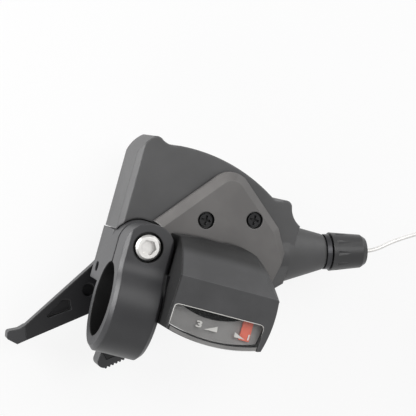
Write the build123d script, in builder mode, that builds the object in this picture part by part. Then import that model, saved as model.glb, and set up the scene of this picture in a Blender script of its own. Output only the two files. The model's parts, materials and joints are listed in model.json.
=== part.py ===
"""Left-hand thumb shifter with three positions, for a 22.2 mm handlebar. Millimetres.

The origin is the centre of the clamp bore. +X runs along the handlebar towards the cable, +Y points
forwards, away from the rider, and +Z points up, out of the display window. Every lever, the spool and
the ratchet turn about one main axle, which is parallel to Z.
"""

from build123d import *
from math import acos, cos, degrees, hypot, pi, radians, sin
import os

os.makedirs("parts", exist_ok=True)

# ---------------------------------------------------------------- handlebar clamp
bar_radius = 11.1
band_width = 14.6
band_wall = 4.1
band_edge = 1.2
split_gap = 1.6
ear_margin = 6.9
ear_top_z = 11.0
ear_corner = 7.0
ear_root = 8.0
rear_ear_depth = 9.0
foot_near_y = 3.9
foot_beyond_band = 4.8
foot_lip = 1.8
foot_slot_y = (6.2, 9.2)
foot_slot_z = (-21.4, -17.2)
foot_slot_depth = 1.2
bracket_screw_inset = 4.4
bracket_screw_hole = 6.6

# ---------------------------------------------------------------- clamp bolt and nut
bolt_x = -0.5
bolt_beyond_bar = 6.9
bolt_radius = 2.5
bolt_clearance = 0.25
bolt_head_radius = 3.7
bolt_head_height = 3.4
bolt_head_edge = 0.6
bolt_hex = 4.0
bolt_hex_depth = 2.2
bolt_tip = 0.6
counterbore_radius = 4.35
counterbore_depth = 2.8
nut_side = 8.0
nut_height = 3.2
nut_cover = 1.6
slot_play = 0.15

# ---------------------------------------------------------------- base housing
housing_top_z = -4.0
housing_bottom_z = -23.4
housing_wall = 1.6
housing_gap = 0.3
pocket_wall = 1.4
housing_corner = 14.0
housing_rim = 0.8
housing_bevel = 1.8
housing_bevel_depth = 2.9
rear_wall_gap = 1.2
boss_radius = 2.4
boss_inset = 3.4
left_boss_reach = (15.2, -5.2)
right_boss_offsets = [(21.9, 8.4), (22.9, -13.8)]
post_radius = 2.0
post_rib = (4.0, 7.4)
boss_top_z = -11.0

# ---------------------------------------------------------------- main axle and the cable's line
axle_aside = 9.2
axle_ahead = 4.9
axle_radius = 3.0
running_gap = 0.05
layer_gap = 0.1
cable_radius = 0.6
cable_z = -13.0
wrap_radius = 11.0
barrel_angle = 15.5
wrap_angle = 55.0

# ---------------------------------------------------------------- neck and barrel adjuster
neck_start = 20.0
neck_full = 27.0
neck_radius = 8.9
neck_sag = (33.5, 7.1)
neck_waist = 39.2
neck_waist_radius = 5.5
neck_end = 40.2
neck_end_radius = 4.9
insert_radius = 3.6
insert_length = 9.0
collar_length = 1.5
collar_radius = 5.4
knob_gap = 0.4
knob_length = 11.2
knob_base_radius = 5.9
knob_tip_radius = 5.1
knob_mouth_radius = 4.1
knob_chamfer = 1.5
knob_ribs = 10
knob_flute_radius = 0.9
shank_radius = 2.5
shank_length = 8.0
shank_bore = 0.9
ferrule_radius = 2.6
ferrule_length = 5.0
ferrule_rim = 0.5
ferrule_recess = 0.6
ferrule_gap = 0.05

# ---------------------------------------------------------------- chassis, washers and levers, downwards
chassis_thickness = 1.2
chassis_inset = 0.5
thrust_washer = 1.0
release_thickness = 3.3
spacer_washer = 0.6
thumb_thickness = 3.6
cap_thickness = 1.5
nut_thickness = 3.0
axle_end = 0.6
hub_radius = 9.5
washer_radius = 6.5
bushing_wall = 1.2
spring_cup_radius = 8.2
spring_cup_depth = 2.2
spring_strip = 0.5
spring_pitch = 1.0
spool_spring_halves = 6
lever_spring_halves = 5

# ---------------------------------------------------------------- ratchet and pawls
ratchet_thickness = 1.6
ratchet_radius = 12.0
ratchet_notches = 3
notch_step = 35.0
notch_depth = 1.7
spacer_height = 1.8
pawl_clearance = 0.15
holding_pivot_radius = 18.0
holding_pivot_angle = 150.0
holding_nose_angle = 168.0
holding_heel_angle = 263.0
holding_heel = 11.6
drive_pivot_radius = 15.0
drive_pivot_angle = 345.0
drive_nose_angle = 325.0
drive_heel_angle = 60.0
drive_heel = 4.0
drive_pin_radius = 1.3
drive_stroke = 38.0
holding_legs = (150, 285)
holding_leg_length = 5.0
drive_legs = (60, 215)
drive_leg_length = 3.6
release_pin_radius = 1.0
release_pin_orbit = 16.0
release_pin_angle = 200.0
release_stroke = 11.0
slot_side_play = 0.4
thumb_eye_radius = 2.0
pocket_corner_radius = 0.5
pocket_depth = 1.6
thumb_pad_drop = 1.2
pad_corner = 0.9
pad_round = 1.8
release_pad_rise = 0.2
release_pad_drop = 4.0
release_rib_radius = 0.4
release_ribs = 14

# ---------------------------------------------------------------- cable spool
flange_lip = 1.2
flange_thickness = 1.4
groove_depth = 1.3
cup_depth = 4.4
cup_wall = 0.8
spool_hub_radius = 5.0
head_radius = 2.2
head_inset = 1.2
head_length = 3.6
peg_radius = 0.8
peg_rest_angle = 315.0
peg_top_z = 5.4

# ---------------------------------------------------------------- upper cover and its screws
cover_top_z = 0.5
cover_wall = 1.3
cover_bevel = 2.4
cover_round = 6.3
cover_toe_aside = 14.3
cover_heel_aside = 23.5
cover_offsets = [(4.6, 18.4), (22.7, 3.4), (26.5, -3.2)]
cover_lap = 1.4
cover_play = 0.15
screw_shank_radius = 1.2
screw_head_radius = 1.9
screw_head_height = 1.5
screw_recess_play = 0.6
screw_recess_depth = 1.9
cross_width = 0.7
cross_span = 2.9
chassis_head_height = 0.75
screw_length = 7.0
cross_share = 0.6
second_screw_gap = 0.5
second_screw_angle = 15.0

# ---------------------------------------------------------------- display pod
pod_beyond_axle = 20.9
pod_rider_y = -4.2
pod_wall = 1.3
pod_bar_gap = 1.5
pod_brow_depth = 1.9
pod_sweep = 2.2
pod_flare = 0.7
pod_bulge = 0.4
pod_shoulder = 1.0
pod_corner = 3.2
pod_cheek = (7.2, 7.6)
pod_rise = 2.8
facet_inset = 0.5
facet_way = (0.8, 1.0, 0.42)
window_margin = 0.8
window_end = 1.8
window_top_y = 5.6
lens_height = 2.8
base_thickness = 1.2
dial_stand = 6.0
dial_thickness = 0.8
rib_thickness = 1.0
dial_top_y = 7.0
dial_arch_aside = 1.5
dial_arch = 3.8
dial_play = 0.2
flag_inset = 6.0
flag_width = 3.0
flag_thickness = 0.7
flag_lift = 0.3
flag_reach_y = -0.3
riser_thickness = 1.0
riser_width = 4.0
fork_z = 3.0
fork_thickness = 1.4
fork_slot = 2.5
fork_wall = 1.0
fork_lead = 0.1
rail_radius = 0.6
rail_z = 9.5
display_screw_offsets = [(13.2, -8.2), (16.8, -11.9)]
display_boss_radius = 2.0
display_boss_height = 6.0

# ---------------------------------------------------------------- free cable
cable_length = 1700.0
coil_centre = (134.7, 21.6)
coil_radius = 26.5
coil_section = 2.4
coil_joint_angle = 97.0
cable_exit_run = 3.4
tie_width = 5.0
tie_wall = 0.8

# ---------------------------------------------------------------- levels that follow from the sizes above
chassis_z = housing_bottom_z - chassis_thickness
release_top_z = chassis_z - thrust_washer - layer_gap
release_bottom_z = release_top_z - release_thickness
spacer_top_z = release_bottom_z - layer_gap
thumb_top_z = spacer_top_z - spacer_washer - layer_gap
thumb_bottom_z = thumb_top_z - thumb_thickness
cap_top_z = thumb_bottom_z - layer_gap
nut_top_z = cap_top_z - cap_thickness
nut_bottom_z = nut_top_z - nut_thickness
axle_bottom_z = nut_bottom_z - axle_end
ratchet_z = housing_bottom_z + spacer_height
spool_z = ratchet_z + ratchet_thickness
groove_half = cable_radius + groove_depth / 2
cup_z = cable_z + groove_half + flange_thickness
spool_top_z = cup_z + cup_depth
flange_radius = wrap_radius + flange_lip
cup_radius = wrap_radius - cable_radius
head_orbit = wrap_radius - head_inset
peg_orbit = wrap_radius + cable_radius
band_radius = bar_radius + band_wall
band_left = -band_width / 2
band_right = band_width / 2
bolt_y = bar_radius + bolt_beyond_bar
ear_front_y = bolt_y + ear_margin
foot_front_y = band_radius + foot_beyond_band
foot_bottom_z = housing_bottom_z - foot_lip
housing_left = band_left
rear_wall_y = bar_radius + rear_wall_gap
cavity_top_z = housing_top_z - housing_wall
pod_floor_z = bar_radius + pod_bar_gap
dial_z = pod_floor_z + dial_stand
pod_sill_z = dial_z + lens_height
pod_crest_z = pod_sill_z + pod_rise
knob_start = neck_end + collar_length + knob_gap
knob_end = knob_start + knob_length
spool_stroke = notch_step * (ratchet_notches - 1)

# ---------------------------------------------------------------- places that follow from the sizes above
axle_x = band_right + axle_aside
axle_y = ear_front_y + axle_ahead
axle = (axle_x, axle_y)
pod_left = band_right + housing_gap
pod_right = axle_x + pod_beyond_axle
pod_front_y = ear_front_y - housing_gap
pod_back_y = bar_radius + 2 * housing_gap
pod_brow_y = pod_back_y + pod_brow_depth
window_left = pod_left + window_margin
window_right = pod_right - window_end
riser_y = pod_back_y + pod_wall + 3 * housing_gap
cable_turn = radians(barrel_angle)
cable_way = Vector(cos(cable_turn), sin(cable_turn), 0)
cable_side = Vector(sin(cable_turn), -cos(cable_turn), 0)
tangent_point = Vector(axle_x, axle_y, cable_z) + cable_side * wrap_radius
barrel_profile = Plane(origin=tangent_point, x_dir=cable_way, z_dir=cable_side)
barrel_axis = Axis(origin=tangent_point, direction=cable_way)


def beside_axle(*offsets):
    """Return the plan points that stand at these offsets from the main axle."""
    return [(axle_x + x, axle_y + y) for x, y in offsets]


def around_axle(radius, angle):
    """Return the plan point at a radius and an angle in degrees about the main axle."""
    return (axle_x + radius * cos(radians(angle)), axle_y + radius * sin(radians(angle)))


def along_cable(distance):
    """Return the point on the cable's line at a distance from where it leaves the spool."""
    return tangent_point + cable_way * distance


def across_cable(distance):
    """Return the plane square to the cable's line at a distance from the spool."""
    return Plane(origin=along_cable(distance), x_dir=(0, 0, 1), z_dir=cable_way)


bracket_y = (foot_near_y + foot_front_y) / 2
bracket_screw_places = [(side * (band_right - bracket_screw_inset), bracket_y) for side in (-1, 1)]
chassis_screw_places = [
    (housing_left + boss_inset, axle_y + left_boss_reach[0]),
    (housing_left + boss_inset, axle_y + left_boss_reach[1]),
    *beside_axle(*right_boss_offsets),
]
second_screw = around_axle(flange_radius + second_screw_gap + post_radius, second_screw_angle)
display_screw_places = beside_axle(*display_screw_offsets)


def finish(builder, name):
    """Label a finished piece and write it under its own name."""
    builder.part.label = name
    export_step(builder.part, f"parts/{name}.step")


def turned_piece(points):
    """Return the solid that a closed outline of (distance, radius) points sweeps about the barrel."""
    with BuildPart() as piece:
        with BuildSketch(barrel_profile):
            with BuildLine():
                Polyline(*points, close=True)
            make_face()
        revolve(axis=barrel_axis)
    return piece.part


def ring_piece(name, inner, outer, bottom, top, centre=axle):
    """Write a plain ring, such as a washer or a bushing, about a vertical axis."""
    with BuildPart() as piece:
        with BuildSketch(Plane(origin=(*centre, bottom))):
            Circle(outer)
            Circle(inner, mode=Mode.SUBTRACT)
        extrude(amount=top - bottom)
    finish(piece, name)


def spiral_spring(name, inner, half_turns, bottom, height, tang_end):
    """Write a flat clock spring of growing half circles; its outer tang goes up or down to tang_end."""
    with BuildPart() as piece:
        with BuildSketch(Plane(origin=(*axle, bottom))):
            with BuildLine():
                start = (inner, 0)
                for half in range(half_turns):
                    reach = inner + (half + 1) * spring_pitch / 2
                    side = -1 if half % 2 == 0 else 1
                    middle = (start[0] + side * reach) / 2
                    span = abs(start[0] - side * reach) / 2
                    ThreePointArc(start, (middle, -side * span), (side * reach, 0))
                    start = (side * reach, 0)
            trace(line_width=spring_strip)
        extrude(amount=height)
        with BuildSketch(Plane(origin=(*axle, bottom))):
            with Locations(start):
                Rectangle(spring_strip, 2 * spring_strip)
        extrude(amount=tang_end - bottom)
    finish(piece, name)


def cross_screw(name, places, head_bottom, head_height, length, up=True):
    """Write cross-recess screws that share a size, heads up or heads down."""
    away = 1 if up else -1
    with BuildPart() as screws:
        for place in places:
            seat = Plane(origin=(*place, head_bottom), z_dir=(0, 0, away))
            with BuildSketch(seat):
                Circle(screw_head_radius)
            extrude(amount=head_height)
            with BuildSketch(seat):
                Circle(screw_shank_radius)
            extrude(amount=-length)
            with BuildSketch(seat.offset(head_height)):
                Rectangle(cross_span, cross_width)
                Rectangle(cross_width, cross_span)
            extrude(amount=-cross_share * head_height, mode=Mode.SUBTRACT)
    finish(screws, name)


# ================================================================ clamp band
with BuildPart() as clamp_band:
    with BuildSketch(Plane.YZ.offset(band_left)):
        Circle(band_radius)
        with Locations((0, -rear_ear_depth)):
            Rectangle(ear_front_y, rear_ear_depth + ear_top_z, align=(Align.MIN, Align.MIN))
        with Locations((foot_near_y, foot_bottom_z)):
            Rectangle(foot_front_y - foot_near_y, -foot_bottom_z, align=(Align.MIN, Align.MIN))
    extrude(amount=band_width)
    across_edges = clamp_band.edges().filter_by(Axis.X)
    root_edges = [
        edge
        for edge in across_edges
        if bar_radius / 2 < edge.center().Z < ear_top_z + slot_play and edge.center().Y < bolt_y
    ]
    fillet(root_edges, radius=ear_root)
    rims = clamp_band.edges().filter_by(GeomType.CIRCLE)
    chamfer([rim for rim in rims if abs(rim.radius - band_radius) < band_edge / 10], length=band_edge)
    ear_corner_x = band_right - ear_corner
    with BuildSketch(Plane.XY.offset(-rear_ear_depth)):
        with Locations((0, ear_front_y)):
            Rectangle(band_width, ear_corner, align=(Align.CENTER, Align.MAX))
            Rectangle(band_width - 2 * ear_corner, 2 * ear_corner, mode=Mode.SUBTRACT)
        with Locations(*[(side * ear_corner_x, ear_front_y - ear_corner) for side in (-1, 1)]):
            Circle(ear_corner, mode=Mode.SUBTRACT)
    extrude(amount=rear_ear_depth + ear_top_z, mode=Mode.SUBTRACT)
    with BuildSketch(Plane.YZ.offset(band_left)):
        Circle(bar_radius)
        Rectangle(ear_front_y + band_edge, split_gap, align=(Align.MIN, Align.CENTER))
    extrude(amount=band_width, mode=Mode.SUBTRACT)
    with Locations((bolt_x, bolt_y, ear_top_z)):
        CounterBoreHole(
            radius=bolt_radius + bolt_clearance,
            counter_bore_radius=counterbore_radius,
            counter_bore_depth=counterbore_depth,
            depth=ear_top_z + rear_ear_depth - nut_cover / 2,
        )
    with BuildSketch(Plane.XY.offset(-rear_ear_depth + nut_cover - slot_play)):
        with Locations((bolt_x - nut_side / 2 - slot_play, bolt_y)):
            Rectangle(
                band_width,
                nut_side + 2 * slot_play,
                align=(Align.MIN, Align.CENTER),
            )
    extrude(amount=nut_height + 2 * slot_play, mode=Mode.SUBTRACT)
    with BuildSketch(Plane.XY.offset(foot_bottom_z)):
        with Locations((band_left + housing_wall, foot_near_y + housing_wall)):
            Rectangle(band_width, foot_front_y, align=(Align.MIN, Align.MIN))
    extrude(amount=foot_lip, mode=Mode.SUBTRACT)
    with BuildSketch(Plane.YZ.offset(band_left)):
        with Locations((sum(foot_slot_y) / 2, sum(foot_slot_z) / 2)):
            SlotOverall(
                foot_slot_z[1] - foot_slot_z[0], foot_slot_y[1] - foot_slot_y[0], rotation=90
            )
    extrude(amount=foot_slot_depth, mode=Mode.SUBTRACT)
    for place in bracket_screw_places:
        with Locations(Location((*place, housing_bottom_z), (180, 0, 0))):
            Hole(radius=screw_shank_radius, depth=bracket_screw_hole)
finish(clamp_band, "clamp_band")

# ================================================================ clamp bolt and nut
bolt_seat_z = ear_top_z - counterbore_depth
nut_z = -rear_ear_depth + nut_cover
with BuildPart() as clamp_bolt:
    with BuildSketch(Plane(origin=(bolt_x, bolt_y, bolt_seat_z))):
        Circle(bolt_head_radius)
    extrude(amount=bolt_head_height)
    chamfer(clamp_bolt.faces().sort_by(Axis.Z)[-1].edges(), length=bolt_head_edge)
    with BuildSketch(Plane(origin=(bolt_x, bolt_y, bolt_seat_z))):
        Circle(bolt_radius)
    extrude(amount=nut_z - bolt_seat_z)
    chamfer(clamp_bolt.faces().sort_by(Axis.Z)[0].edges(), length=bolt_tip)
    with BuildSketch(Plane(origin=(bolt_x, bolt_y, bolt_seat_z + bolt_head_height))):
        RegularPolygon(bolt_hex / 2, 6, major_radius=False)
    extrude(amount=-bolt_hex_depth, mode=Mode.SUBTRACT)
finish(clamp_bolt, "clamp_bolt")

with BuildPart() as clamp_nut:
    with BuildSketch(Plane(origin=(bolt_x, bolt_y, nut_z))):
        Rectangle(nut_side, nut_side)
        Circle(bolt_radius, mode=Mode.SUBTRACT)
    extrude(amount=nut_height)
finish(clamp_nut, "clamp_nut")

# ================================================================ base housing
pocket_x = band_right + 2 * housing_gap
pocket_y = ear_front_y + housing_gap
pocket_z = -rear_ear_depth - housing_gap
pocket_corner = ear_corner + housing_gap
foot_wall_y = foot_front_y + housing_gap


with BuildSketch() as pocket_wall_plan:
    with Locations((pocket_x + pocket_wall, pocket_y + pocket_wall)):
        Rectangle(3 * band_width, 2 * pocket_y, align=(Align.MAX, Align.MAX))
    fillet(
        pocket_wall_plan.vertices().group_by(Axis.X)[-1].sort_by(Axis.Y)[-1],
        radius=pocket_corner + pocket_wall,
    )


# the middle and the end of each arc of the housing's plan, from the left wall round to the neck
housing_arcs = [
    ((-22.5, 17.2), (-20.1, 19.9)),
    ((-18.9, 20.0), (-17.7, 19.4)),
    ((-15.3, 18.6), (-12.1, 19.1)),
    ((5.5, 17.6), (19.5, 11.6)),
    ((21.4, 11.2), (23.1, 11.9)),
    ((25.0, 11.8), (25.9, 10.5)),
    ((26.9, 8.2), (29.9, 5.7)),
]
neck_foot_offset = (29.5, -12.2)
rear_corner_aside = 24.0


def housing_outline():
    """Draw the housing's plan: a straight left wall, a horn, a long arc, a second horn and the neck."""
    start = (housing_left, axle_y + housing_corner)
    Polyline((pocket_x, foot_wall_y), (housing_left, foot_wall_y), start)
    for offsets in housing_arcs:
        middle, end = beside_axle(*offsets)
        ThreePointArc(start, middle, end)
        start = end
    Polyline(
        start,
        *beside_axle(neck_foot_offset),
        (axle_x + rear_corner_aside, rear_wall_y),
        (pocket_x, rear_wall_y),
        (pocket_x, foot_wall_y),
    )


with BuildPart() as housing_body:
    with BuildSketch(Plane.XY.offset(housing_bottom_z)) as housing_plan:
        with BuildLine():
            housing_outline()
        make_face()
    extrude(amount=housing_top_z - housing_bottom_z - housing_rim)
    with BuildSketch(Plane.XY.offset(housing_top_z - housing_rim)):
        add(housing_plan.sketch)
    extrude(amount=housing_rim, taper=45)
    with BuildSketch(Plane.XZ):
        Polygon(
            (housing_left - housing_gap, housing_top_z),
            (housing_left + housing_bevel, housing_top_z),
            (housing_left, housing_top_z - housing_bevel_depth),
            (housing_left - housing_gap, housing_top_z - housing_bevel_depth),
            align=None,
        )
    extrude(amount=-2 * axle_y, mode=Mode.SUBTRACT)
    with BuildSketch(barrel_profile):
        with BuildLine():
            Polyline((neck_waist, neck_waist_radius), (neck_end, neck_end_radius), (neck_end, 0))
            Polyline((neck_end, 0), (neck_start, 0), (neck_start, neck_radius), (neck_full, neck_radius))
            ThreePointArc((neck_full, neck_radius), neck_sag, (neck_waist, neck_waist_radius))
        make_face()
    revolve(axis=barrel_axis)
    # the ear pocket, the cavity under it and the cavity beside it
    with BuildSketch(Plane.XY.offset(pocket_z)) as ear_pocket:
        with Locations((pocket_x, pocket_y)):
            Rectangle(pocket_x - band_left + housing_gap, pocket_y, align=(Align.MAX, Align.MAX))
        fillet(ear_pocket.vertices().group_by(Axis.Y)[-1], radius=pocket_corner)
    extrude(amount=housing_top_z - pocket_z, mode=Mode.SUBTRACT)
    with BuildSketch(Plane.XY.offset(housing_bottom_z)) as cavity_plan:
        add(housing_plan.sketch)
        offset(amount=-housing_wall)
    extrude(amount=pocket_z - housing_wall - housing_bottom_z, mode=Mode.SUBTRACT)
    with BuildSketch(Plane.XY.offset(housing_bottom_z)):
        add(housing_plan.sketch)
        offset(amount=-housing_wall)
        add(pocket_wall_plan.sketch, mode=Mode.SUBTRACT)
    extrude(amount=cavity_top_z - housing_bottom_z, mode=Mode.SUBTRACT)
    for well_radius, well_top in ((flange_radius, cup_z), (cup_radius, cavity_top_z)):
        with BuildSketch(Plane(origin=(*axle, housing_bottom_z))):
            Circle(well_radius + housing_gap)
        extrude(amount=well_top + layer_gap - housing_bottom_z, mode=Mode.SUBTRACT)
    add(
        turned_piece(
            [
                (neck_start, 0),
                (neck_start, neck_radius - 2 * housing_wall),
                (neck_full, neck_radius - 2 * housing_wall),
                (neck_end - insert_length, insert_radius),
                (neck_end, insert_radius),
                (neck_end, 0),
            ]
        ),
        mode=Mode.SUBTRACT,
    )
    for place in chassis_screw_places:
        with BuildSketch(Plane(origin=(*place, housing_bottom_z))):
            Circle(boss_radius)
            Circle(screw_shank_radius, mode=Mode.SUBTRACT)
        extrude(amount=boss_top_z - housing_bottom_z)

# ================================================================ upper cover
cover_toe = (axle_x - cover_toe_aside, pocket_y + housing_gap)
cover_hollow = cover_toe[1] - bolt_y
cover_hollow_middle = (
    pocket_x - cover_hollow + cover_hollow * cos(pi / 4),
    bolt_y + cover_hollow * sin(pi / 4),
)


def cover_outline():
    """Draw the raised cover's plan: a kite whose near corner is hollowed to follow the round ear."""
    Polyline(
        cover_toe,
        *beside_axle(*cover_offsets),
        (axle_x + cover_heel_aside, rear_wall_y + housing_gap),
        (pocket_x, rear_wall_y + housing_gap),
        (pocket_x, bolt_y),
    )
    ThreePointArc((pocket_x, bolt_y), cover_hollow_middle, cover_toe)


with BuildSketch(Plane.XY.offset(cavity_top_z)) as cover_hole_plan:
    with BuildLine():
        cover_outline()
    make_face()
    fillet(cover_hole_plan.vertices().group_by(Axis.Y)[-1], radius=cover_round)
    offset(amount=-cover_lap)

def travel_slot(orbit, rest_angle, stroke, pin_radius, mode=Mode.ADD):
    """Draw the slot in which a pin swings back from its rest angle, about the open sketch's place."""
    SlotArc(
        CenterArc((0, 0), orbit, rest_angle - stroke, stroke, mode=Mode.PRIVATE),
        height=2 * (pin_radius + slot_side_play),
        mode=mode,
    )


with BuildPart() as upper_cover:
    with BuildSketch(Plane.XY.offset(housing_top_z)):
        with BuildLine():
            cover_outline()
        cover_face = make_face()
        fillet(cover_face.vertices().group_by(Axis.Y)[-1], radius=cover_round)
    extrude(amount=cover_top_z - housing_top_z)
    top_edges = upper_cover.faces().sort_by(Axis.Z)[-1].edges()
    chamfer([edge for edge in top_edges if edge.center().Y > pod_front_y], length=cover_bevel)
    with BuildSketch(Plane.XY.offset(cavity_top_z)):
        add(cover_hole_plan.sketch)
        offset(amount=-cover_play)
    extrude(amount=housing_top_z - cavity_top_z)
    with BuildSketch(Plane.XY.offset(cavity_top_z)):
        add(cover_hole_plan.sketch)
        offset(amount=-cover_play - cover_wall)
    extrude(amount=cover_top_z - cover_wall - cavity_top_z, mode=Mode.SUBTRACT)
    for place in (axle, second_screw):
        with BuildSketch(Plane(origin=(*place, cover_top_z - cover_wall))):
            Circle(screw_head_radius + screw_recess_play + cover_wall)
        extrude(amount=-screw_recess_depth)
    with Locations(*[(*place, cover_top_z) for place in (axle, second_screw)]):
        CounterBoreHole(
            radius=screw_shank_radius + cover_play,
            counter_bore_radius=screw_head_radius + screw_recess_play,
            counter_bore_depth=screw_recess_depth,
        )
    with BuildSketch(Plane.XY.offset(cover_top_z)):
        with Locations(axle):
            travel_slot(peg_orbit, peg_rest_angle, spool_stroke, peg_radius)
    extrude(amount=cavity_top_z - cover_top_z, mode=Mode.SUBTRACT)
    with Locations(*[(*place, cover_top_z) for place in display_screw_places]):
        Hole(radius=screw_shank_radius + cover_play)
finish(upper_cover, "upper_cover")

screw_seat_z = cover_top_z - screw_recess_depth
cross_screw("cover_screws", [axle, second_screw], screw_seat_z, screw_head_height, screw_length)

cover_post_top = screw_seat_z - cover_wall
with BuildPart() as base_housing:
    add(housing_body.part)
    with BuildSketch(Plane.XY.offset(cavity_top_z)):
        add(cover_hole_plan.sketch)
    extrude(amount=housing_top_z - cavity_top_z, mode=Mode.SUBTRACT)
    with BuildSketch(Plane(origin=(*second_screw, housing_bottom_z + spacer_height))):
        with BuildLine():
            Line((0, 0), post_rib)
        trace(line_width=housing_wall)
    extrude(amount=cavity_top_z - housing_bottom_z - spacer_height)
    with BuildSketch(Plane(origin=(*second_screw, housing_bottom_z + spacer_height))):
        Circle(post_radius)
    extrude(amount=cover_post_top - housing_bottom_z - spacer_height)
    with Locations((*second_screw, cover_post_top)):
        Hole(radius=screw_shank_radius, depth=screw_length)
finish(base_housing, "base_housing")

# ================================================================ chassis plate and its screws
foot_hole_x = (band_left + band_right + housing_wall) / 2
with BuildPart() as chassis_plate:
    with BuildSketch(Plane.XY.offset(chassis_z)):
        add(housing_plan.sketch)
        offset(amount=-chassis_inset)
        with Locations((foot_hole_x, foot_near_y + housing_wall + housing_gap)):
            Rectangle(
                band_width - 2 * housing_wall,
                foot_front_y,
                align=(Align.CENTER, Align.MIN),
            )
        with Locations(axle):
            Circle(axle_radius, mode=Mode.SUBTRACT)
            travel_slot(drive_pivot_radius, drive_pivot_angle, drive_stroke, drive_pin_radius, Mode.SUBTRACT)
            travel_slot(
                release_pin_orbit, release_pin_angle, release_stroke, release_pin_radius, Mode.SUBTRACT
            )
        with Locations(*chassis_screw_places, *bracket_screw_places):
            Circle(screw_shank_radius, mode=Mode.SUBTRACT)
    extrude(amount=chassis_thickness)
finish(chassis_plate, "chassis_plate")
for screws_name, places in (
    ("chassis_screws", chassis_screw_places),
    ("bracket_screws", bracket_screw_places),
):
    cross_screw(screws_name, places, chassis_z, chassis_head_height, screw_length, up=False)

# ================================================================ main axle with its rings and nut
holding_pivot = around_axle(holding_pivot_radius, holding_pivot_angle)
with BuildPart() as main_axle:
    with BuildSketch(Plane(origin=(*axle, axle_bottom_z))):
        Circle(axle_radius)
    extrude(amount=cover_post_top - axle_bottom_z)
    chamfer(main_axle.faces().sort_by(Axis.Z)[0].edges(), length=axle_end)
    with Locations((*axle, cover_post_top)):
        Hole(radius=screw_shank_radius, depth=screw_length)
finish(main_axle, "main_axle")
ring_piece("axle_spacer", axle_radius, washer_radius, housing_bottom_z, ratchet_z - layer_gap)
ring_piece("thrust_washer", axle_radius, washer_radius, chassis_z - thrust_washer, chassis_z)
ring_piece("spacer_washer", axle_radius, washer_radius, spacer_top_z - spacer_washer, spacer_top_z)
ring_piece("axle_cap", axle_radius, hub_radius, nut_top_z, cap_top_z)
with BuildPart() as axle_nut:
    with BuildSketch(Plane(origin=(*axle, nut_bottom_z))):
        RegularPolygon(axle_radius + 2 * bushing_wall, 6, major_radius=False)
        Circle(axle_radius, mode=Mode.SUBTRACT)
    extrude(amount=nut_thickness)
finish(axle_nut, "axle_nut")

# ================================================================ cable spool, ratchet plate and return spring
spool_bore = axle_radius + running_gap
with BuildPart() as cable_spool:
    with BuildSketch(Plane(origin=(*axle, spool_z))):
        Circle(flange_radius - groove_depth - cable_radius)
    extrude(amount=cup_z - spool_z)
    for flange_bottom in (cable_z - groove_half - flange_thickness, cable_z + groove_half):
        with BuildSketch(Plane(origin=(*axle, flange_bottom))):
            Circle(flange_radius)
        extrude(amount=flange_thickness)
    with BuildSketch(Plane(origin=(*axle, cup_z))):
        Circle(cup_radius)
        Circle(cup_radius - cup_wall, mode=Mode.SUBTRACT)
        Circle(spool_hub_radius)
    extrude(amount=cup_depth)
    with BuildSketch(Plane(origin=(*around_axle(peg_orbit, peg_rest_angle), cup_z))):
        Circle(peg_radius)
    extrude(amount=peg_top_z - cup_z)
    with BuildSketch(Plane(origin=(*axle, spool_z))):
        Circle(spool_bore)
    extrude(amount=spool_top_z - spool_z, mode=Mode.SUBTRACT)
    head_angle = 270 + barrel_angle - wrap_angle
    head_place = around_axle(head_orbit, head_angle)
    with BuildSketch(Plane(origin=(*head_place, cable_z - head_length / 2))):
        Circle(head_radius + slot_play)
    extrude(amount=head_length, mode=Mode.SUBTRACT)
finish(cable_spool, "cable_spool")

with BuildPart() as cable_head:
    with BuildSketch(Plane(origin=(*head_place, cable_z - head_length / 2))):
        Circle(head_radius)
    extrude(amount=head_length)
finish(cable_head, "cable_head")

wrap_cosine = (wrap_radius**2 + head_orbit**2 - head_radius**2) / (2 * wrap_radius * head_orbit)
wrap_start = head_angle + degrees(acos(wrap_cosine))
wrap_end = 270 + barrel_angle
with BuildPart() as cable_wrap:
    with BuildLine() as wrap_path:
        CenterArc((*axle, cable_z), wrap_radius, wrap_start, wrap_end - wrap_start)
    with BuildSketch(Plane(origin=wrap_path.line @ 0, z_dir=wrap_path.line % 0)):
        Circle(cable_radius)
    sweep()
finish(cable_wrap, "cable_wrap")

with BuildPart() as ratchet_plate:
    with BuildSketch(Plane(origin=(*axle, ratchet_z))):
        Circle(ratchet_radius)
        Circle(spool_bore, mode=Mode.SUBTRACT)
        for nose_angle in (holding_nose_angle, drive_nose_angle):
            for notch in range(ratchet_notches):
                with Locations(Rot(0, 0, nose_angle + notch * notch_step) * Pos(ratchet_radius, 0, 0)):
                    Polygon(
                        (0, 0),
                        (-notch_depth, 0),
                        (-notch_depth, notch_depth),
                        (0, 2 * notch_depth),
                        align=None,
                        mode=Mode.SUBTRACT,
                    )
    extrude(amount=ratchet_thickness)
finish(ratchet_plate, "ratchet_plate")
spiral_spring(
    "spool_spring",
    spool_hub_radius + spring_strip,
    spool_spring_halves,
    cup_z + spring_strip,
    cup_depth - 2 * spring_strip,
    cover_top_z - cover_wall,
)

# ================================================================ pawls with their pins and springs
pawl_pin_radius = 1.0
pawl_boss = 2.2
holding_nose = around_axle(ratchet_radius + pawl_clearance, holding_nose_angle)
drive_nose = around_axle(ratchet_radius + pawl_clearance, drive_nose_angle)
drive_pivot = around_axle(drive_pivot_radius, drive_pivot_angle)
release_pin_place = around_axle(release_pin_orbit, release_pin_angle)


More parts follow.
